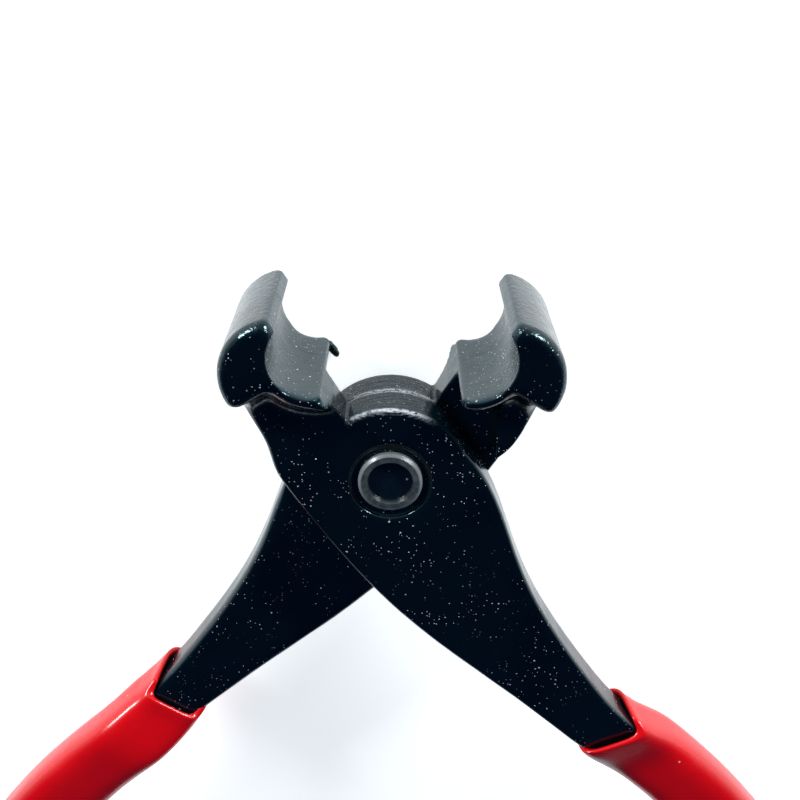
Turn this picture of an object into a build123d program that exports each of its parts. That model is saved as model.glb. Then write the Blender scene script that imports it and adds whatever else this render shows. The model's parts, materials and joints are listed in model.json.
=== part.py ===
from build123d import *
from math import cos, radians, sin, sqrt
import os

# Mosaic glass nippers, lying flat and open: two forged arms crossed in a lap joint on one
# rivet, each with a dipped vinyl grip.  +Z is the pivot axis, +Y points from the pivot to
# the jaws.  The origin is on the surface the tool lies on, at the middle of its outline.
#
# Both arms are one forging, drawn once in the arm's own closed frame: the pivot at the
# origin, the lap face near z = 0, the jaws meeting on x = 0, its own jaw at x < 0 and its
# own handle at x > 0.  The other arm is the same forging turned over about the jaw axis.

os.makedirs("parts", exist_ok=True)

# ---- driving dimensions, mm and degrees ----
JAW_WIDTH = 25.0            # across both layers
PLATE_THICKNESS = 6.8       # each arm at the lap joint, from the lap plane
LAP_GAP = 0.1               # between the two lap faces
OPEN_ANGLE = 32.0           # each arm from closed, at rest
PIVOT_Y = 54.4              # puts the origin at the middle of the outline
HUB_RADIUS = 12.0           # round of the hub between the jaws
RECESS_RADIUS = 15.6        # room for the other arm's hub
RECESS_LENGTH = 40.0
JAW_GAP = 0.4               # left between the lands when closed

GROOVE_RADIUS = 5.95
GROOVE_CENTRE = (1.85, 24.45)
HEAD_RADIUS = 8.45          # outer dome of the jaw head
HEAD_CENTRE = (-3.5, 24.4)
WALL_RADIUS = 7.95          # outside of the thin wall under the groove
WALL_CENTRE = (2.1, 24.3)
UNDERSIDE_Y = 23.2          # underside of the head, outside the neck
SHOULDER_HEIGHT = 4.6       # of the neck over the other arm's layer
SHOULDER_FOOT = (-11.4, 9.9)
OUTER_SCOOP = 5.2           # hollow from the plate up to the head
INNER_SCOOP = 6.6           # hollow from the shoulder up to the head
RIM_FILLET = 1.8
TIP_FILLET = 0.9
CORNER_FILLET = 1.2
PLATE_FILLET = 0.8

RIVET_RADIUS = 4.0
RIVET_CLEARANCE = 0.05
RIVET_HEAD_RADIUS = 4.8
RIVET_PROUD = 0.35
RIVET_CHAMFER = 0.4
DISH_RADIUS = 3.5
DISH_DEPTH = 0.9
DISH_TAPER = 0.3
COUNTERBORE_RADIUS = 6.1
COUNTERBORE_DEPTH = 0.8

VINYL = 1.5                 # wall of the grip
BEND_START_Y = -57.0        # the tang bends over to the lap plane, so both grips lie in one plane
BEND_END_Y = -72.0
TANG_END_FILLET = 3.6
GRIP_FILLET = 3.0
FRONT_MOUTH = (5.5, -59.4, 3.4)     # middle of each grip's mouth
BACK_MOUTH = (5.5, -56.5, 3.4)
FRONT_MOUTH_LEAN = 16.0     # both mouths lean the same way in the closed tool
BACK_MOUTH_LEAN = -21.0
TRIM_LENGTH = 300.0         # takes in the whole grip, however the mouth leans
TAIL_Y = -180.0             # beyond the grip's end
TRIM_WIDTH = 80.0

HALF_JAW = JAW_WIDTH / 2
LAND_X = -JAW_GAP / 2
LAP_FACE = LAP_GAP / 2
SEAT = PLATE_THICKNESS - COUNTERBORE_DEPTH

# outline of one arm: the outer edge of the handle, from the hub to the tang's end,
# the end's two corners, the inner edge back up to the neck, and the neck's outer edge
HUB_END_ANGLE = -6.0
HANDLE_OUTER = [
    (12.3, -8.5),
    (9.8, -21.5),
    (8.6, -29.5),
    (8.3, -38.5),
    (8.7, -48.0),
    (9.9, -57.5),
    (12.2, -64.8),
    (15.5, -74.5),
    (17.9, -85.5),
    (19.6, -116.0),
]
HANDLE_END = [(16.8, -165.0), (8.3, -165.6)]
HANDLE_INNER = [
    (10.1, -116.0),
    (7.8, -85.5),
    (5.4, -75.0),
    (2.7, -65.0),
    (0.7, -58.5),
    (-3.4, -45.0),
    (-8.1, -31.0),
    (-11.1, -20.0),
    (-13.5, -2.0),
    (-13.9, 9.0),
]
# outline of the grip, which follows the tang and is thin at the inside of its mouth
GRIP_OUTER = [(10.0, -50.0), (11.3, -58.5), (13.3, -64.2), (16.6, -74.0), (19.3, -85.2), (21.1, -116.0)]
GRIP_END = [(18.3, -166.5), (6.8, -167.1)]
GRIP_INNER = [(8.6, -116.0), (6.2, -85.8), (3.9, -75.0), (1.2, -65.0), (0.45, -60.0), (1.0, -50.0)]
NECK_EDGE = [(-12.7, 14.5), (-12.3, 18.5), (-11.7, 24.5)]
NECK_TOP_Y = NECK_EDGE[-1][1]


def on_circle(centre, radius, angle):
    """A point on a circle, at an angle in degrees from +x."""
    return (centre[0] + radius * cos(radians(angle)), centre[1] + radius * sin(radians(angle)))


def handle_edges():
    """The handle's outer edge and inner edge, joined across the end."""
    outer = Spline(on_circle((0, 0), HUB_RADIUS, HUB_END_ANGLE), *HANDLE_OUTER, HANDLE_END[0])
    end = Line(outer @ 1, HANDLE_END[1])
    inner = Spline(end @ 1, *HANDLE_INNER)
    return outer, inner


def draw_side(skin):
    """Side view of the plate and its bent tang, with a skin added all round."""
    half = PLATE_THICKNESS / 2 + skin
    top, bottom = PLATE_THICKNESS + skin, LAP_FACE - skin
    upper = Polyline((NECK_TOP_Y, bottom), (NECK_TOP_Y, top), (BEND_START_Y, top))
    upper_bend = Spline(upper @ 1, (BEND_END_Y, half), tangents=[(-1, 0), (-1, 0)])
    tail = Polyline(upper_bend @ 1, (TAIL_Y, half), (TAIL_Y, -half), (BEND_END_Y, -half))
    Spline(tail @ 1, (BEND_START_Y, bottom), tangents=[(1, 0), (1, 0)])
    Line((BEND_START_Y, bottom), upper @ 0)


def draw_neck(inset):
    """Outline of the neck alone, from the hub up into the head, its outer edge moved in."""
    foot = Line((LAND_X, hub_top), (SHOULDER_FOOT[0] + inset, SHOULDER_FOOT[1]))
    edge = Spline(foot @ 1, *[(x + inset, y) for x, y in NECK_EDGE])
    top = Line(edge @ 1, (LAND_X, NECK_TOP_Y))
    Line(top @ 1, (LAND_X, hub_top))


def draw_scoop(wall, radius, rise):
    """Section of a hollow: a quarter round from the neck's face up the head's wall."""
    middle = radius * (1 - cos(radians(45)))
    buried = wall - 1
    Polyline((buried, rise), (buried, 0), (wall + radius, 0))
    ThreePointArc((wall + radius, 0), (wall + middle, middle * rise / radius), (wall, rise))
    Line((wall, rise), (buried, rise))


# ---- where the round outlines meet the straight ones ----
hub_top = sqrt(HUB_RADIUS**2 - LAND_X**2)
wall_foot = WALL_CENTRE[1] - sqrt(WALL_RADIUS**2 - (LAND_X - WALL_CENTRE[0]) ** 2)
wall_top = WALL_CENTRE[0] - sqrt(WALL_RADIUS**2 - (UNDERSIDE_Y - WALL_CENTRE[1]) ** 2)
dome_top = HEAD_CENTRE[1] + sqrt(HEAD_RADIUS**2 - (LAND_X - HEAD_CENTRE[0]) ** 2)
dome_foot = HEAD_CENTRE[0] - sqrt(HEAD_RADIUS**2 - (UNDERSIDE_Y - HEAD_CENTRE[1]) ** 2)

# ---- hub plate, handle and tang ----
with BuildPart() as plate:
    with BuildSketch(Plane.XY.offset(-HALF_JAW)):
        with BuildLine():
            outer_edge, inner_edge = handle_edges()
            neck_edge = Spline(inner_edge @ 1, *NECK_EDGE, tangents=[inner_edge % 1, (0.1, 1)])
            neck_top = Line(neck_edge @ 1, (LAND_X, NECK_TOP_Y))
            neck_inside = Line(neck_top @ 1, (LAND_X, hub_top))
            ThreePointArc(neck_inside @ 1, on_circle((0, 0), HUB_RADIUS, 42), outer_edge @ 0)
        make_face()
        fillet(vertices().sort_by(Axis.Y)[:2], radius=TANG_END_FILLET)
    extrude(amount=JAW_WIDTH)
    with BuildSketch(Plane.YZ.offset(-TRIM_WIDTH / 2)):
        with BuildLine():
            draw_side(0)
        make_face()
    extrude(amount=TRIM_WIDTH, mode=Mode.INTERSECT)
    rims = [e for e in edges() if e.geom_type != GeomType.LINE or e.length < TANG_END_FILLET]
    fillet([e for e in rims if e.center().Y < 0 or e.center().Z > PLATE_FILLET], radius=PLATE_FILLET)

# ---- the jaw head, one profile right across the tool ----
with BuildPart() as head:
    with BuildSketch(Plane.XY.offset(-HALF_JAW)):
        with BuildLine():
            land = Line((LAND_X, wall_foot), (LAND_X, dome_top))
            crown = on_circle(HEAD_CENTRE, HEAD_RADIUS, 130)
            dome = ThreePointArc(land @ 1, crown, (dome_foot, UNDERSIDE_Y))
            underside = Line(dome @ 1, (wall_top, UNDERSIDE_Y))
            ThreePointArc(underside @ 1, on_circle(WALL_CENTRE, WALL_RADIUS, 225), land @ 0)
        make_face()
        fillet(vertices().sort_by(Axis.Y)[-1], radius=TIP_FILLET)
        fillet(vertices().sort_by(Axis.X)[0], radius=CORNER_FILLET)
        fillet(vertices().sort_by(Axis.Y)[0], radius=CORNER_FILLET)
    extrude(amount=JAW_WIDTH)
    end_faces = faces().filter_by(Axis.Z)
    upper_rims = [e for e in end_faces.edges() if e.center().Y > UNDERSIDE_Y + 0.1]
    dome_rims = [e for e in upper_rims if e.center().X < LAND_X - 0.01]
    fillet(dome_rims, radius=RIM_FILLET)

# ---- hollows that lead from each face of the neck up to the projecting head ----
with BuildPart() as scoops:
    for side, base, radius in [(1, PLATE_THICKNESS, OUTER_SCOOP), (-1, SHOULDER_HEIGHT, INNER_SCOOP)]:
        foot = (dome_foot - 1.5, UNDERSIDE_Y, side * base)
        beside_head = Plane(origin=foot, x_dir=(0, -1, 0), z_dir=(1, 0, 0))
        with BuildSketch(beside_head):
            with BuildLine():
                draw_scoop(0, radius, -side * radius)
            make_face()
        extrude(amount=wall_top - dome_foot + 2.5)
        through_groove = Plane(origin=(*WALL_CENTRE, side * base), x_dir=(1, 0, 0), z_dir=(0, -1, 0))
        with BuildSketch(through_groove):
            with BuildLine():
                draw_scoop(WALL_RADIUS, radius, side * radius)
            make_face()
        revolve(axis=Axis((*WALL_CENTRE, 0), (0, 0, 1)))
    with BuildSketch(Plane.XY.offset(-HALF_JAW)):
        with BuildLine():
            draw_neck(PLATE_FILLET)
        make_face()
    extrude(amount=JAW_WIDTH, mode=Mode.INTERSECT)

# ---- one whole forging ----
with BuildPart() as forging:
    add(plate.part)
    # the neck is as thick over the other arm's layer
    with BuildSketch(Plane.XY.offset(-SHOULDER_HEIGHT)):
        with BuildLine():
            draw_neck(0)
        make_face()
    extrude(amount=SHOULDER_HEIGHT + LAP_FACE)
    add(scoops.part)
    # recess that the other arm's hub turns in: round, then straight up to the head
    with BuildSketch(Plane.XY.offset(-HALF_JAW)):
        Circle(RECESS_RADIUS)
        with Locations(Location((0, 0), -OPEN_ANGLE)):
            Rectangle(2 * RECESS_RADIUS, RECESS_LENGTH, align=(Align.CENTER, Align.MIN))
    extrude(amount=HALF_JAW + LAP_FACE, mode=Mode.SUBTRACT)
    add(head.part)
    # the round groove between the two lands
    with BuildSketch(Plane.XY.offset(-HALF_JAW)):
        with Locations(GROOVE_CENTRE):
            Circle(GROOVE_RADIUS)
    extrude(amount=JAW_WIDTH, mode=Mode.SUBTRACT)
    # pivot bore, and the counterbore round the rivet's head
    with Locations((0, 0, PLATE_THICKNESS)):
        CounterBoreHole(RIVET_RADIUS + RIVET_CLEARANCE, COUNTERBORE_RADIUS, COUNTERBORE_DEPTH)

# ---- one vinyl grip, closed over the tang's end ----
with BuildPart() as sleeve:
    with BuildSketch(Plane.XY.offset(-HALF_JAW)):
        with BuildLine():
            grip_outer = Spline(*GRIP_OUTER, GRIP_END[0])
            grip_end = Line(grip_outer @ 1, GRIP_END[1])
            grip_inner = Spline(grip_end @ 1, *GRIP_INNER)
            Line(grip_inner @ 1, grip_outer @ 0)
        make_face()
        fillet(vertices().sort_by(Axis.Y)[:2], radius=TANG_END_FILLET + VINYL)
    extrude(amount=JAW_WIDTH)
    with BuildSketch(Plane.YZ.offset(-TRIM_WIDTH / 2)):
        with BuildLine():
            draw_side(VINYL)
        make_face()
    extrude(amount=TRIM_WIDTH, mode=Mode.INTERSECT)
    rims = [e for e in edges() if e.geom_type != GeomType.LINE or e.length < TANG_END_FILLET]
    fillet([e for e in rims if e.center().Y < GRIP_OUTER[0][1]], radius=GRIP_FILLET)
    add(plate.part, mode=Mode.SUBTRACT)

below_mouth = (Align.CENTER, Align.MAX, Align.CENTER)
with BuildPart() as front_sleeve:
    add(sleeve.part)
    with Locations(Location(FRONT_MOUTH, (FRONT_MOUTH_LEAN, 0, 0))):
        Box(TRIM_LENGTH, TRIM_LENGTH, TRIM_LENGTH, align=below_mouth, mode=Mode.INTERSECT)

with BuildPart() as back_sleeve:
    add(sleeve.part)
    with Locations(Location(BACK_MOUTH, (BACK_MOUTH_LEAN, 0, 0))):
        Box(TRIM_LENGTH, TRIM_LENGTH, TRIM_LENGTH, align=below_mouth, mode=Mode.INTERSECT)

# ---- the two arms and their grips, each in its own layer ----
turn = radians(OPEN_ANGLE)
upper_layer = Plane(origin=(0, PIVOT_Y, HALF_JAW), x_dir=(cos(turn), sin(turn), 0), z_dir=(0, 0, 1))
lower_layer = Plane(origin=(0, PIVOT_Y, HALF_JAW), x_dir=(-cos(turn), sin(turn), 0), z_dir=(0, 0, -1))

with BuildPart() as front_arm:
    add(upper_layer.location * forging.part)
front_arm.part.label = "front_arm"
export_step(front_arm.part, "parts/front_arm.step")

with BuildPart() as back_arm:
    add(lower_layer.location * forging.part)
back_arm.part.label = "back_arm"
export_step(back_arm.part, "parts/back_arm.step")

with BuildPart() as front_grip:
    add(upper_layer.location * front_sleeve.part)
front_grip.part.label = "front_grip"
export_step(front_grip.part, "parts/front_grip.step")

with BuildPart() as back_grip:
    add(lower_layer.location * back_sleeve.part)
back_grip.part.label = "back_grip"
export_step(back_grip.part, "parts/back_grip.step")

# ---- the rivet, headed on both sides, with a dished middle ----
rivet_top = PLATE_THICKNESS + RIVET_PROUD
underhead = SEAT + RIVET_CLEARANCE
with BuildPart() as pivot_rivet:
    with BuildSketch(Plane(origin=(0, PIVOT_Y, HALF_JAW), x_dir=(1, 0, 0), z_dir=(0, -1, 0))):
        with BuildLine():
            Polyline(
                (0, 0),
                (RIVET_RADIUS, 0),
                (RIVET_RADIUS, underhead),
                (RIVET_HEAD_RADIUS, underhead),
                (RIVET_HEAD_RADIUS, rivet_top - RIVET_CHAMFER),
                (RIVET_HEAD_RADIUS - RIVET_CHAMFER, rivet_top),
                (DISH_RADIUS, rivet_top),
                (DISH_RADIUS - DISH_TAPER, rivet_top - DISH_DEPTH),
                (0, rivet_top - DISH_DEPTH),
                close=True,
            )
        make_face()
    revolve(axis=Axis((0, PIVOT_Y, HALF_JAW), (0, 0, 1)))
    mirror(about=Plane.XY.offset(HALF_JAW))
pivot_rivet.part.label = "pivot_rivet"
export_step(pivot_rivet.part, "parts/pivot_rivet.step")
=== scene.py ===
import json
import math

import bmesh
import bpy
import numpy as np
from mathutils import Matrix, Vector


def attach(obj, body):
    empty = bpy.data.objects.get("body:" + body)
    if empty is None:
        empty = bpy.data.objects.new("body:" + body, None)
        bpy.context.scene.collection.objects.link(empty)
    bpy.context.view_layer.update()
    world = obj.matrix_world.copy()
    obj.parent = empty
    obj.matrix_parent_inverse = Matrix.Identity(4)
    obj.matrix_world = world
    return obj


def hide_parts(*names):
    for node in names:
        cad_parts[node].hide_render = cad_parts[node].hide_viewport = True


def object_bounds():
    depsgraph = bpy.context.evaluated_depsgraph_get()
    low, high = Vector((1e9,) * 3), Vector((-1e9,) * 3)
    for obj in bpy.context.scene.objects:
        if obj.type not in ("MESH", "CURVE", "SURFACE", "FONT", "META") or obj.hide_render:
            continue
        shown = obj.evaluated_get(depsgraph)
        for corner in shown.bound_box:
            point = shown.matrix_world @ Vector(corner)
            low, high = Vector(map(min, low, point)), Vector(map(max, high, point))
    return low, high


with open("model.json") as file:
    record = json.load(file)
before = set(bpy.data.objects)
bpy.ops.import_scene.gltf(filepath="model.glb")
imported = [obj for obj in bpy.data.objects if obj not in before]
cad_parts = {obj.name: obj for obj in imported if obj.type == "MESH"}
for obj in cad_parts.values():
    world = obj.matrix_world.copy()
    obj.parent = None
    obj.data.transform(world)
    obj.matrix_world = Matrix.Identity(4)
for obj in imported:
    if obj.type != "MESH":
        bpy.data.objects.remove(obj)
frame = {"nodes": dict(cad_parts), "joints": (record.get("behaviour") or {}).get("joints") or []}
cad_low, cad_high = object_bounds()

MM = 0.001
VOXEL = 0.28 * MM

pivot_joint = frame["joints"][0]
PIVOT = Vector(pivot_joint["pos_m"])
OPEN_ANGLE = math.radians(32.0)

# The arm's own closed frame, as in the CAD: x across, y to the jaws, z out of the lap joint.
GROOVE_CENTRE = (1.85, 24.45)
GROOVE_RADIUS = 5.95
HUB_RADIUS = 12.0
HALF_JAW = 12.5
VINYL = 1.5
GRIP_START_Y = -62.5
GRIP_END_Y = -166.8
BODY_POWER = 3.0
MOUTH_POWER = 4.5
LIP = 0.8
END_DOME = 5.0
NUB = (-0.75, 17.0, -11.7)

# each mouth's lip: its level on the face that is up in the picture, its fall across that face,
# and the heights z between which it turns down from the side onto that face
MOUTHS = {
    1: {"face": -60.5, "fall": -0.25, "side_z": 5.0, "face_z": 8.0},
    -1: {"face": -59.4, "fall": 0.0, "side_z": 1.0, "face_z": -1.2},
}
SIDE_LIP_Y = -57.6          # the lip on the side walls, at the lap face
SIDE_LIP_LEAN = -0.4        # its change in y for each mm towards the viewer
# the grip's outline next to its mouth, as in the CAD: y, least x, greatest x
MOUTH_OUTLINE = [(-61.5, 0.6, 12.25), (-58.5, 0.45, 11.3), (-54.0, 0.7, 10.5), (-50.0, 1.0, 10.0)]


def arm_axes(side):
    """Columns x, y, z of an arm's closed frame in the world; side is 1 for the front arm, -1 for the back."""
    c, s = math.cos(OPEN_ANGLE), math.sin(OPEN_ANGLE)
    x = Vector((side * c, s, 0))
    z = Vector((0, 0, side))
    return np.array([x, z.cross(x), z]).T


def smooth_step(low, high, value):
    t = np.clip((value - low) / (high - low), 0, 1)
    return t * t * (3 - 2 * t)


def neighbours(mesh):
    edges = np.empty(len(mesh.edges) * 2, np.int64)
    mesh.edges.foreach_get("vertices", edges)
    return edges.reshape(-1, 2)


def relax(points, edges, weight, steps):
    """Moves each point towards the middle of its neighbours, by its own weight."""
    count = np.bincount(edges.ravel(), minlength=len(points)).astype(float)
    count[count == 0] = 1
    for _ in range(steps):
        total = np.zeros_like(points)
        for axis in range(3):
            total[:, axis] = np.bincount(edges[:, 0], points[edges[:, 1], axis], len(points))
            total[:, axis] += np.bincount(edges[:, 1], points[edges[:, 0], axis], len(points))
        points += weight[:, None] * (total / count[:, None] - points)
    return points


HASH_FACTORS = np.array((73856093, 19349663, 83492791), dtype=np.int64)


def value_noise(points, cell, seed):
    """Smooth noise from -1 to 1 on a grid of the given cell size, the same each run."""
    rng = np.random.default_rng(seed)
    table = rng.uniform(-1, 1, 4096)
    q = points / cell
    base = np.floor(q).astype(np.int64)
    f = q - base
    f = f * f * (3 - 2 * f)
    out = np.zeros(len(points))
    for dx in (0, 1):
        for dy in (0, 1):
            for dz in (0, 1):
                corner = (base + (dx, dy, dz)) * HASH_FACTORS
                key = corner[:, 0] ^ corner[:, 1] ^ corner[:, 2]
                w = (f[:, 0] if dx else 1 - f[:, 0]) * (f[:, 1] if dy else 1 - f[:, 1])
                w = w * (f[:, 2] if dz else 1 - f[:, 2])
                out += w * table[key % 4096]
    return out


def in_cad_box(points):
    return np.clip(points, np.array(cad_low), np.array(cad_high))


def set_attribute(mesh, name, values):
    layer = mesh.attributes.new(name, "FLOAT", "POINT")
    layer.data.foreach_set("value", values.astype(np.float32))


def add_nub(mesh, axes):
    """A small lump of hardened paint at the back end of one land."""
    bm = bmesh.new()
    bm.from_mesh(mesh)
    for step, radius in ((-0.6, 0.75), (0.35, 0.85), (1.2, 0.65)):
        place = Vector(axes @ (np.array(NUB) + (0.12 * step, -step, 0.2 * step)) * MM) + PIVOT
        bmesh.ops.create_icosphere(bm, subdivisions=2, radius=radius * MM, matrix=Matrix.Translation(place))
    bm.to_mesh(mesh)
    bm.free()


def cast_arm(node, side, seed):
    """A forged copy of a CAD arm: remeshed, its edges softened, and given a cast skin."""
    source = frame["nodes"][node]
    mesh = source.data.copy()
    axes = arm_axes(side)
    if side > 0:
        add_nub(mesh, axes)
    obj = bpy.data.objects.new(node + "_forged", mesh)
    bpy.context.scene.collection.objects.link(obj)
    mod = obj.modifiers.new("remesh", "REMESH")
    mod.mode = "VOXEL"
    mod.voxel_size = VOXEL
    mod.use_smooth_shade = True
    dg = bpy.context.evaluated_depsgraph_get()
    obj.data = bpy.data.meshes.new_from_object(obj.evaluated_get(dg))
    obj.modifiers.clear()
    bpy.data.meshes.remove(mesh)
    mesh = obj.data
    mesh.name = obj.name
    n = len(mesh.vertices)
    co = np.empty(n * 3, np.float64)
    mesh.vertices.foreach_get("co", co)
    local = (co.reshape(-1, 3) - np.array(PIVOT)) @ axes / MM
    edges = neighbours(mesh)
    x, y, z = local.T
    radius = np.hypot(x, y)
    # where the skin is as forged, and where it was ground or cut
    from_groove = np.hypot(x - GROOVE_CENTRE[0], y - GROOVE_CENTRE[1])
    groove = smooth_step(0.6, 0.25, np.abs(from_groove - GROOVE_RADIUS))
    groove = groove * (y > 18) * (np.abs(z) < HALF_JAW - 0.3)
    land = smooth_step(-0.55, -0.35, x) * smooth_step(15.4, 15.9, y) * (1 - groove)
    lap = smooth_step(0.5, 0.2, np.abs(z)) * (radius < 60)
    # soften every edge a little, and the hollows under the head a lot
    scoop = smooth_step(24.0, 22.0, y) * smooth_step(8.0, 13.0, y) * smooth_step(4.2, 5.2, np.abs(z))
    scoop = scoop * smooth_step(-0.8, -2.5, x)
    weight = np.full(n, 0.35) * (1 - 0.75 * np.maximum(groove, land)) * (1 - 0.7 * lap)
    local = relax(local, edges, weight, 6)
    local = relax(local, edges, 0.6 * scoop, 40)
    if side < 0:
        # the back arm's handle is rounder along its lap face
        lap_edge = smooth_step(2.5, 0.8, np.abs(local[:, 2])) * smooth_step(-12, -16, local[:, 1])
        local = relax(local, edges, 0.6 * lap_edge, 50)
    mesh.vertices.foreach_set("co", ((local * MM) @ axes.T + np.array(PIVOT)).ravel())
    mesh.update()
    normals = np.empty(n * 3, np.float32)
    mesh.vertices.foreach_get("normal", normals)
    normals = normals.reshape(-1, 3) @ axes
    # skin: orange peel on the forged faces, wrinkles on the dome
    forged = (1 - np.maximum(np.maximum(groove, land), lap))
    peel = value_noise(local, 1.1, seed) * 0.5 + value_noise(local, 0.6, seed + 1) * 0.3
    on_head = smooth_step(20, 23, y)
    depth = forged * (0.010 + 0.018 * on_head) * peel + forged * 0.03 * value_noise(local, 5.0, seed + 2)
    local = local + normals * depth[:, None]
    mesh.vertices.foreach_set("co", in_cad_box((local * MM) @ axes.T + np.array(PIVOT)).ravel())
    mesh.update()
    set_attribute(mesh, "groove", groove)
    set_attribute(mesh, "land", land)
    set_attribute(mesh, "head", on_head)
    x, y, z = local.T
    radius = np.hypot(x, y)
    hub_side = smooth_step(1.2, 0.6, np.abs(radius - HUB_RADIUS)) * (x > -0.6) * (y > -1.5)
    facing_out = ((normals[:, 0] * x + normals[:, 1] * y) / np.maximum(radius, 0.1))
    set_attribute(mesh, "rim", hub_side * smooth_step(0.3, 0.7, facing_out))
    burr = smooth_step(0.50, 0.22, np.abs(radius - 11.7)) * smooth_step(6.0, 6.4, z)
    joint = smooth_step(0.45, 0.20, np.abs(radius - 11.9)) * smooth_step(0.8, 0.4, z)
    spread = smooth_step(-0.6, 0.8, x) * smooth_step(4.5, 7.5, y)
    set_attribute(mesh, "burr", np.maximum(burr, 0.85 * joint) * spread)
    nub = np.linalg.norm((local - np.array(NUB)) * (1, 0.55, 1), axis=1)
    set_attribute(mesh, "nub", smooth_step(1.7, 1.2, nub) * (side > 0) * smooth_step(-0.55, -0.35, x))
    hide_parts(node)
    return obj


def outline_at(mesh, axes, stations):
    """For each y station of a closed-frame mesh: the least and greatest x and z of its section."""
    co = np.empty(len(mesh.vertices) * 3, np.float64)
    mesh.vertices.foreach_get("co", co)
    local = (co.reshape(-1, 3) - np.array(PIVOT)) @ axes / MM
    ends = local[neighbours(mesh)]
    rows = []
    for y in stations:
        a, b = ends[:, 0], ends[:, 1]
        cut = (a[:, 1] - y) * (b[:, 1] - y) < 0
        a, b = a[cut], b[cut]
        t = (y - a[:, 1]) / (b[:, 1] - a[:, 1])
        at = a + (b - a) * t[:, None]
        rows.append((at[:, 0].min(), at[:, 0].max(), at[:, 2].min(), at[:, 2].max()))
    return np.array(rows)


def mouth_level(side, x, z):
    """Height y of the lip where the mouth's rim stands at x, z."""
    lip = MOUTHS[side]
    on_face = smooth_step(lip["side_z"], lip["face_z"], z)
    side_lip = SIDE_LIP_Y + SIDE_LIP_LEAN * side * z
    return side_lip + on_face * (lip["face"] + lip["fall"] * (x - 2.5) - side_lip)


def grip_outline(node, arm_node, axes):
    """Stations y, and the least and greatest x and z of the grip there, on up to its mouth."""
    stations = np.linspace(GRIP_END_Y + 0.4, GRIP_START_Y, 90)
    limits = outline_at(frame["nodes"][node].data, axes, stations)
    near_mouth = np.array([row[0] for row in MOUTH_OUTLINE])
    tang = outline_at(frame["nodes"][arm_node].data, axes, near_mouth)
    across = np.array([row[1:] for row in MOUTH_OUTLINE])
    more = np.column_stack([across, tang[:, 2] - VINYL, tang[:, 3] + VINYL])
    return np.concatenate([stations, near_mouth]), np.concatenate([limits, more])


def dipped_grip(node, arm_node, side):
    """A grip as a soft shell: rolled lip, rounded section that follows the CAD outline, domed end."""
    axes = arm_axes(side)
    known_y, known = grip_outline(node, arm_node, axes)
    around = 144
    angle = np.linspace(0, 2 * math.pi, around, endpoint=False)
    start = SIDE_LIP_Y - GRIP_END_Y - END_DOME

    # each ring: distance down from the mouth, and how far its skin is moved in
    rings = [(d, LIP) for d in np.linspace(5.0, 0.7, 8)]
    for a in np.linspace(0.1, math.pi, 9):
        rings.append((0.5 * LIP * (1 - math.sin(a)), 0.5 * LIP * (1 + math.cos(a))))
    rings += [(d, 0.0) for d in np.linspace(LIP, start, 160)]
    for a in np.linspace(0.12, 1.0, 12) * math.pi / 2:
        rings.append((start + END_DOME * math.sin(a) * 0.985, END_DOME * (1 - math.cos(a))))

    verts = []
    for depth, inset in rings:
        lean = 1 - smooth_step(0.0, 22.0, depth)
        power = 2 / (BODY_POWER + (MOUTH_POWER - BODY_POWER) * lean)
        unit_x = np.sign(np.cos(angle)) * np.abs(np.cos(angle)) ** power
        unit_z = np.sign(np.sin(angle)) * np.abs(np.sin(angle)) ** power
        y = np.full(around, SIDE_LIP_Y - depth)
        for _ in range(6):
            low_x, high_x, low_z, high_z = (np.interp(y, known_y, known[:, k]) for k in range(4))
            half_x = np.maximum((high_x - low_x) / 2 - inset, 0.05)
            half_z = np.maximum((high_z - low_z) / 2 - inset, 0.05)
            x = (low_x + high_x) / 2 + half_x * unit_x
            z = (low_z + high_z) / 2 + half_z * unit_z
            y = SIDE_LIP_Y - depth + lean * (mouth_level(side, x, z) - SIDE_LIP_Y)
        verts.append(np.stack([x, y, z], axis=1))
    local = np.concatenate(verts)
    wave = value_noise(local, 9.0, 31 + side) * 0.06 + value_noise(local, 3.0, 41 + side) * 0.02
    middle = np.repeat([v.mean(axis=0) for v in verts], around, axis=0)
    out = local - middle
    out[:, 1] = 0
    out /= np.maximum(np.linalg.norm(out, axis=1), 1e-6)[:, None]
    local = local + out * (wave - 0.08)[:, None]

    count = len(rings)
    faces = []
    for r in range(count - 1):
        for k in range(around):
            n = (k + 1) % around
            faces.append((r * around + k, r * around + n, (r + 1) * around + n, (r + 1) * around + k))
    faces.append(tuple(range((count - 1) * around, count * around)))
    mesh = bpy.data.meshes.new(node + "_dipped")
    placed = in_cad_box((local * MM) @ axes.T + np.array(PIVOT))
    mesh.from_pydata([tuple(v) for v in placed], [], faces)
    bm = bmesh.new()
    bm.from_mesh(mesh)
    bmesh.ops.recalc_face_normals(bm, faces=bm.faces)
    bm.to_mesh(mesh)
    bm.free()
    for polygon in mesh.polygons:
        polygon.use_smooth = True
    obj = bpy.data.objects.new(mesh.name, mesh)
    bpy.context.scene.collection.objects.link(obj)
    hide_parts(node)
    return obj


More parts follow.
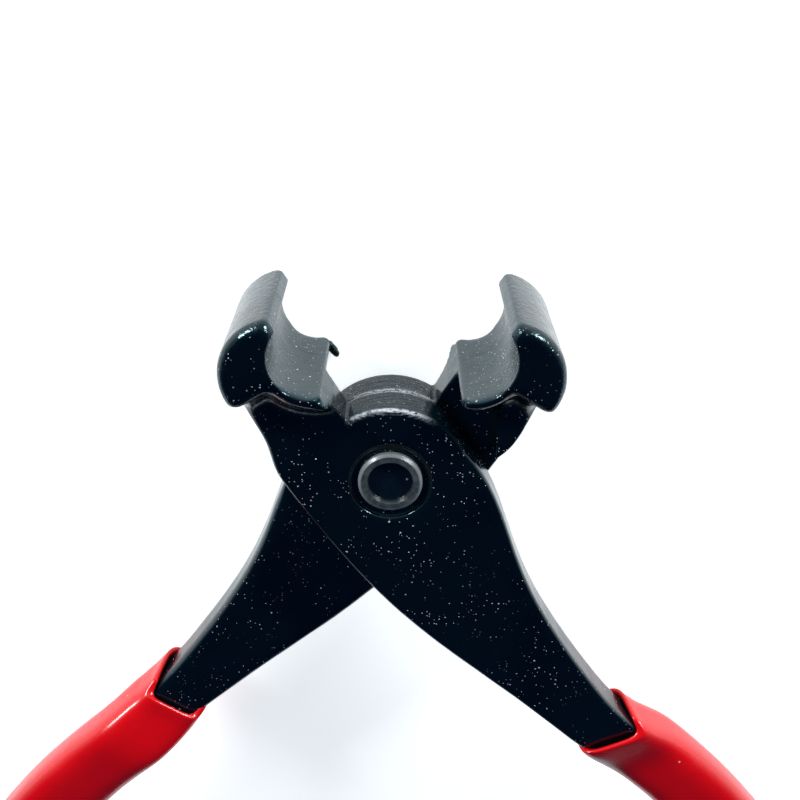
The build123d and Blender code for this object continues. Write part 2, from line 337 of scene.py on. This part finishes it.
# ---- node helpers ----
class Nodes:
    """Short calls for building a material's node tree."""

    def __init__(self, name):
        self.material = bpy.data.materials.new(name)
        self.material.use_nodes = True
        self.tree = self.material.node_tree
        self.shader = self.tree.nodes["Principled BSDF"]
        self.place = self.node("ShaderNodeTexCoord").outputs["Object"]

    def node(self, kind, **settings):
        made = self.tree.nodes.new(kind)
        for key, value in settings.items():
            setattr(made, key, value)
        return made

    def link(self, source, target):
        self.tree.links.new(source, target)

    def feed(self, value, socket):
        if isinstance(value, (int, float)):
            socket.default_value = value
        elif isinstance(value, (tuple, list)):
            socket.default_value = value
        else:
            self.link(value, socket)

    def math(self, operation, a, b=0.0, clamp=False):
        made = self.node("ShaderNodeMath", operation=operation, use_clamp=clamp)
        self.feed(a, made.inputs[0])
        self.feed(b, made.inputs[1])
        return made.outputs[0]

    def noise(self, scale, detail=2.0, roughness=0.5, vector=None, distortion=0.0):
        made = self.node("ShaderNodeTexNoise")
        made.inputs["Scale"].default_value = scale
        made.inputs["Detail"].default_value = detail
        made.inputs["Roughness"].default_value = roughness
        made.inputs["Distortion"].default_value = distortion
        self.link(vector or self.place, made.inputs["Vector"])
        return made.outputs["Fac"]

    def cells(self, scale, vector=None, feature="F1"):
        made = self.node("ShaderNodeTexVoronoi", feature=feature)
        made.inputs["Scale"].default_value = scale
        self.link(vector or self.place, made.inputs["Vector"])
        return made

    def ramp(self, value, low, high, out_low=0.0, out_high=1.0, smooth=False):
        made = self.node("ShaderNodeMapRange", interpolation_type="SMOOTHSTEP" if smooth else "LINEAR")
        self.feed(value, made.inputs["Value"])
        limits = {"From Min": low, "From Max": high, "To Min": out_low, "To Max": out_high}
        for socket, number in limits.items():
            made.inputs[socket].default_value = number
        return made.outputs["Result"]

    def mix(self, factor, a, b):
        made = self.node("ShaderNodeMix", data_type="RGBA")
        self.feed(factor, made.inputs[0])
        self.feed(a, made.inputs[6])
        self.feed(b, made.inputs[7])
        return made.outputs[2]

    def attribute(self, name):
        return self.node("ShaderNodeAttribute", attribute_name=name).outputs["Fac"]

    def bump(self, height, distance, strength=1.0, under=None):
        made = self.node("ShaderNodeBump")
        made.inputs["Strength"].default_value = strength
        made.inputs["Distance"].default_value = distance
        self.link(height, made.inputs["Height"])
        if under:
            self.link(under, made.inputs["Normal"])
        return made.outputs["Normal"]

    def specks(self, scale, size, share):
        """Sparse round specks: 1 on a speck, 0 elsewhere."""
        cells = self.cells(scale)
        near = self.ramp(cells.outputs["Distance"], size * 0.6, size, 1.0, 0.0)
        chosen = self.math("GREATER_THAN", self.node_channel(cells.outputs["Color"]), 1 - share)
        return self.math("MULTIPLY", near, chosen)

    def node_channel(self, colour):
        made = self.node("ShaderNodeSeparateColor")
        self.link(colour, made.inputs[0])
        return made.outputs[0]


def black_enamel():
    """Glossy black enamel on a forging, with dust, and ground steel showing dull on the lands."""
    m = Nodes("black_enamel")
    groove, land, rim, head = (m.attribute(n) for n in ("groove", "land", "rim", "head"))
    burr, nub = m.attribute("burr"), m.attribute("nub")
    broad = m.noise(60, 3)
    paint = m.mix(m.ramp(broad, 0.3, 0.7), (0.0004, 0.0022, 0.0045, 1), (0.0010, 0.0045, 0.0080, 1))
    worn = m.mix(m.ramp(m.noise(900, 2), 0.35, 0.75), (0.002, 0.012, 0.017, 1), (0.012, 0.030, 0.038, 1))
    cut = m.math("MAXIMUM", m.math("MULTIPLY", groove, 0.8), m.math("MULTIPLY", land, 0.9))
    colour = m.mix(cut, paint, worn)
    colour = m.mix(m.math("MULTIPLY", rim, 0.9), colour, (0.0022, 0.012, 0.018, 1))
    dust = m.math("MAXIMUM", m.specks(2600, 0.27, 0.14), m.specks(1100, 0.17, 0.16))
    patches = m.math("MAXIMUM", m.ramp(m.noise(140, 2), 0.40, 0.60), m.math("MULTIPLY", groove, 0.9))
    dust = m.math("MULTIPLY", dust, patches)
    tone = m.node_channel(m.cells(520).outputs["Color"])
    speck_colour = m.mix(tone, (0.52, 0.34, 0.36, 1), (0.85, 0.88, 0.88, 1))
    colour = m.mix(dust, colour, speck_colour)
    bare = m.math("MULTIPLY", burr, m.ramp(m.noise(1700, 3, 0.7), 0.34, 0.50))
    colour = m.mix(bare, colour, (0.62, 0.66, 0.68, 1))
    m.link(colour, m.shader.inputs["Base Color"])
    rough = m.ramp(m.noise(300, 3), 0.3, 0.7, 0.10, 0.20)
    rough = m.math("ADD", rough, m.math("MULTIPLY", cut, 0.12))
    rough = m.math("ADD", rough, m.math("MULTIPLY", m.math("MAXIMUM", dust, bare), 0.5), clamp=True)
    m.link(rough, m.shader.inputs["Roughness"])
    m.shader.inputs["IOR"].default_value = 1.5
    m.shader.inputs["Specular Tint"].default_value = (0.60, 0.93, 1.0, 1)
    gloss = m.math("SUBTRACT", m.ramp(rim, 0.0, 1.0, 0.5, 0.12), m.math("MULTIPLY", cut, 0.17), clamp=True)
    m.link(gloss, m.shader.inputs["Specular IOR Level"])
    # skin: fine peel everywhere, long wrinkles on the head's dome
    peel = m.bump(m.noise(1100, 3, 0.6), 0.00003, 0.7)
    wrinkle = m.noise(700, 2, 0.6, distortion=1.5)
    share = m.math("ADD", m.math("MULTIPLY", head, 0.8), 0.2)
    wrinkled = m.bump(m.math("MULTIPLY", wrinkle, share), 0.0001, 0.8, peel)
    # turning marks run round the hub's rim; the burr and the lump are rough
    squeezed = m.node("ShaderNodeVectorMath", operation="MULTIPLY")
    m.link(m.place, squeezed.inputs[0])
    squeezed.inputs[1].default_value = (0.07, 0.07, 1.0)
    marks = m.math("MULTIPLY", m.noise(2400, 3, 0.7, squeezed.outputs[0]), rim)
    marked = m.bump(marks, 0.00035, 1.0, wrinkled)
    crumbs = m.math("MULTIPLY", m.noise(1500, 3, 0.7), m.math("MAXIMUM", burr, nub))
    crumbled = m.bump(crumbs, 0.0006, 1.0, marked)
    m.link(m.bump(dust, 0.00006, 1.0, crumbled), m.shader.inputs["Normal"])
    return m.material


def rivet_paint():
    """Thin enamel over the rivet, with its light painted in: dark in the dish, a painted sheen of grey on the
    ring, and a painted highlight on its edge.
    """
    m = Nodes("rivet_enamel")
    offset = m.node("ShaderNodeVectorMath", operation="SUBTRACT")
    m.link(m.place, offset.inputs[0])
    offset.inputs[1].default_value = tuple(PIVOT)
    level = m.node("ShaderNodeVectorMath", operation="MULTIPLY")
    m.link(offset.outputs[0], level.inputs[0])
    level.inputs[1].default_value = (1, 1, 0)
    length = m.node("ShaderNodeVectorMath", operation="LENGTH")
    m.link(level.outputs[0], length.inputs[0])
    radius = length.outputs["Value"]
    # painted sheen: the ring round the dish is lightened to grey, while the dish keeps the enamel's dark
    # colour
    ring_sheen_mask = m.ramp(radius, 3.25 * MM, 3.55 * MM)
    edge_highlight_mask = m.ramp(radius, 4.25 * MM, 4.55 * MM)
    # mottle within the ring's painted sheen
    ring_sheen_mottle = m.ramp(m.noise(900, 3, 0.6), 0.35, 0.65)
    ring = m.mix(ring_sheen_mottle, (0.030, 0.040, 0.043, 1), (0.075, 0.090, 0.092, 1))
    colour = m.mix(ring_sheen_mask, (0.0012, 0.0055, 0.0105, 1), ring)
    # painted highlight: a bright grey band on the rivet head's outer edge
    colour = m.mix(m.math("MULTIPLY", edge_highlight_mask, 0.8), colour, (0.22, 0.25, 0.26, 1))
    dust = m.specks(800, 0.16, 0.16)
    colour = m.mix(dust, colour, (0.55, 0.45, 0.46, 1))
    m.link(colour, m.shader.inputs["Base Color"])
    m.link(m.ramp(m.noise(500, 3), 0.3, 0.7, 0.20, 0.38), m.shader.inputs["Roughness"])
    m.shader.inputs["IOR"].default_value = 1.6
    m.link(m.bump(m.noise(1300, 3, 0.6), 0.00004, 0.8), m.shader.inputs["Normal"])
    return m.material


def dipped_vinyl():
    """Glossy red vinyl with the soft waves of a dipped skin."""
    m = Nodes("dipped_vinyl")
    broad = m.noise(45, 2)
    colour = m.mix(m.ramp(broad, 0.3, 0.7), (0.50, 0.0012, 0.003, 1), (0.62, 0.002, 0.005, 1))
    dust = m.specks(380, 0.09, 0.08)
    colour = m.mix(dust, colour, (0.75, 0.35, 0.33, 1))
    m.link(colour, m.shader.inputs["Base Color"])
    m.link(m.ramp(m.noise(220, 3), 0.3, 0.7, 0.16, 0.28), m.shader.inputs["Roughness"])
    m.shader.inputs["IOR"].default_value = 1.53
    m.shader.inputs["Subsurface Weight"].default_value = 0.04
    m.shader.inputs["Subsurface Radius"].default_value = (0.002, 0.0004, 0.0003)
    waves = m.bump(m.noise(160, 2), 0.00012, 0.5)
    m.link(m.bump(m.noise(1500, 3), 0.00002, 0.5, waves), m.shader.inputs["Normal"])
    return m.material


enamel = black_enamel()
rivet_look = rivet_paint()
vinyl = dipped_vinyl()

front = cast_arm("front_arm", 1, 11)
back = cast_arm("back_arm", -1, 23)
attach(front, "front_half")
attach(back, "back_half")
for arm in (front, back):
    arm.data.materials.clear()
    arm.data.materials.append(enamel)


rivet = frame["nodes"]["pivot_rivet"]
if not rivet.material_slots:
    rivet.data.materials.append(rivet_look)
for material_slot in rivet.material_slots:
    material_slot.material = rivet_look

for half, side in (("front", 1), ("back", -1)):
    grip = dipped_grip(half + "_grip", half + "_arm", side)
    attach(grip, half + "_half")
    grip.data.materials.append(vinyl)


# ---- floor, light and camera ----
def add_floor():
    bpy.ops.mesh.primitive_plane_add(size=6.0, location=(0, 0, 0))
    floor = bpy.context.object
    floor.name = "floor"
    m = Nodes("pale_floor")
    m.link(m.mix(m.noise(3, 2), (0.80, 0.80, 0.81, 1), (0.84, 0.84, 0.85, 1)), m.shader.inputs["Base Color"])
    m.shader.inputs["Roughness"].default_value = 0.9
    m.shader.inputs["Emission Color"].default_value = (0.95, 1.0, 1.0, 1)
    m.shader.inputs["Emission Strength"].default_value = 0.75
    floor.data.materials.append(m.material)
    return floor


def add_softbox(name, place, target, size, watts):
    data = bpy.data.lights.new(name, "AREA")
    data.shape = "RECTANGLE"
    data.size, data.size_y = size
    data.energy = watts
    obj = bpy.data.objects.new(name, data)
    bpy.context.scene.collection.objects.link(obj)
    obj.location = place
    obj.rotation_euler = (Vector(target) - Vector(place)).to_track_quat("-Z", "Y").to_euler()
    return obj


def add_world():
    """Bright near the horizon, dim overhead and behind the handles."""
    world = bpy.data.worlds.new("studio")
    bpy.context.scene.world = world
    world.use_nodes = True
    tree = world.node_tree
    background = tree.nodes["Background"]
    place = tree.nodes.new("ShaderNodeTexCoord")
    split = tree.nodes.new("ShaderNodeSeparateXYZ")
    tree.links.new(place.outputs["Generated"], split.inputs[0])
    behind = tree.nodes.new("ShaderNodeMath")
    behind.operation = "MULTIPLY_ADD"
    behind.inputs[1].default_value = -0.45
    tree.links.new(split.outputs["Y"], behind.inputs[0])
    tree.links.new(split.outputs["Z"], behind.inputs[2])
    rise = tree.nodes.new("ShaderNodeMapRange")
    rise.interpolation_type = "SMOOTHSTEP"
    rise.inputs["From Min"].default_value = -0.1
    rise.inputs["From Max"].default_value = 0.65
    tree.links.new(behind.outputs[0], rise.inputs["Value"])
    mix = tree.nodes.new("ShaderNodeMix")
    mix.data_type = "RGBA"
    mix.inputs[6].default_value = (0.80, 0.95, 1.0, 1)
    mix.inputs[7].default_value = (0.006, 0.035, 0.11, 1)
    tree.links.new(rise.outputs["Result"], mix.inputs[0])
    tree.links.new(mix.outputs[2], background.inputs["Color"])
    background.inputs["Strength"].default_value = 0.8


LENS_MM = 51.471
LENS_SHIFT_X = 0.010625
CAMERA_OFFSET_MM = (0, 81.8, 156.5)     # from the pivot
CAMERA_DEPRESSION = math.radians(24.52)
CAMERA_ROLL = math.radians(0.9)


def add_camera():
    """The camera hangs over the jaws and looks down and back at the handles, jaws up."""
    data = bpy.data.cameras.new("camera")
    data.sensor_width = 36.0
    data.lens = LENS_MM
    data.shift_x = LENS_SHIFT_X
    obj = bpy.data.objects.new("camera", data)
    bpy.context.scene.collection.objects.link(obj)
    obj.location = PIVOT + Vector(CAMERA_OFFSET_MM) * MM
    right = Vector((1, 0, 0))
    up = Vector((0, math.cos(CAMERA_DEPRESSION), -math.sin(CAMERA_DEPRESSION)))
    back_way = right.cross(up)
    turn = Matrix((right, up, back_way)).transposed()
    rolled = turn @ Matrix.Rotation(CAMERA_ROLL, 3, "Z")
    obj.matrix_world = Matrix.Translation(obj.location) @ rolled.to_4x4()
    data.dof.use_dof = False
    data.clip_start, data.clip_end = 0.005, 20.0
    bpy.context.scene.camera = obj


add_floor()
add_world()
for name, side in (("key_left", -1), ("key_right", 1)):
    add_softbox(name, (side * 0.75, 0.70, 0.34), PIVOT, (0.28, 0.18), 10)
add_camera()
bpy.context.scene.view_settings.view_transform = "Standard"
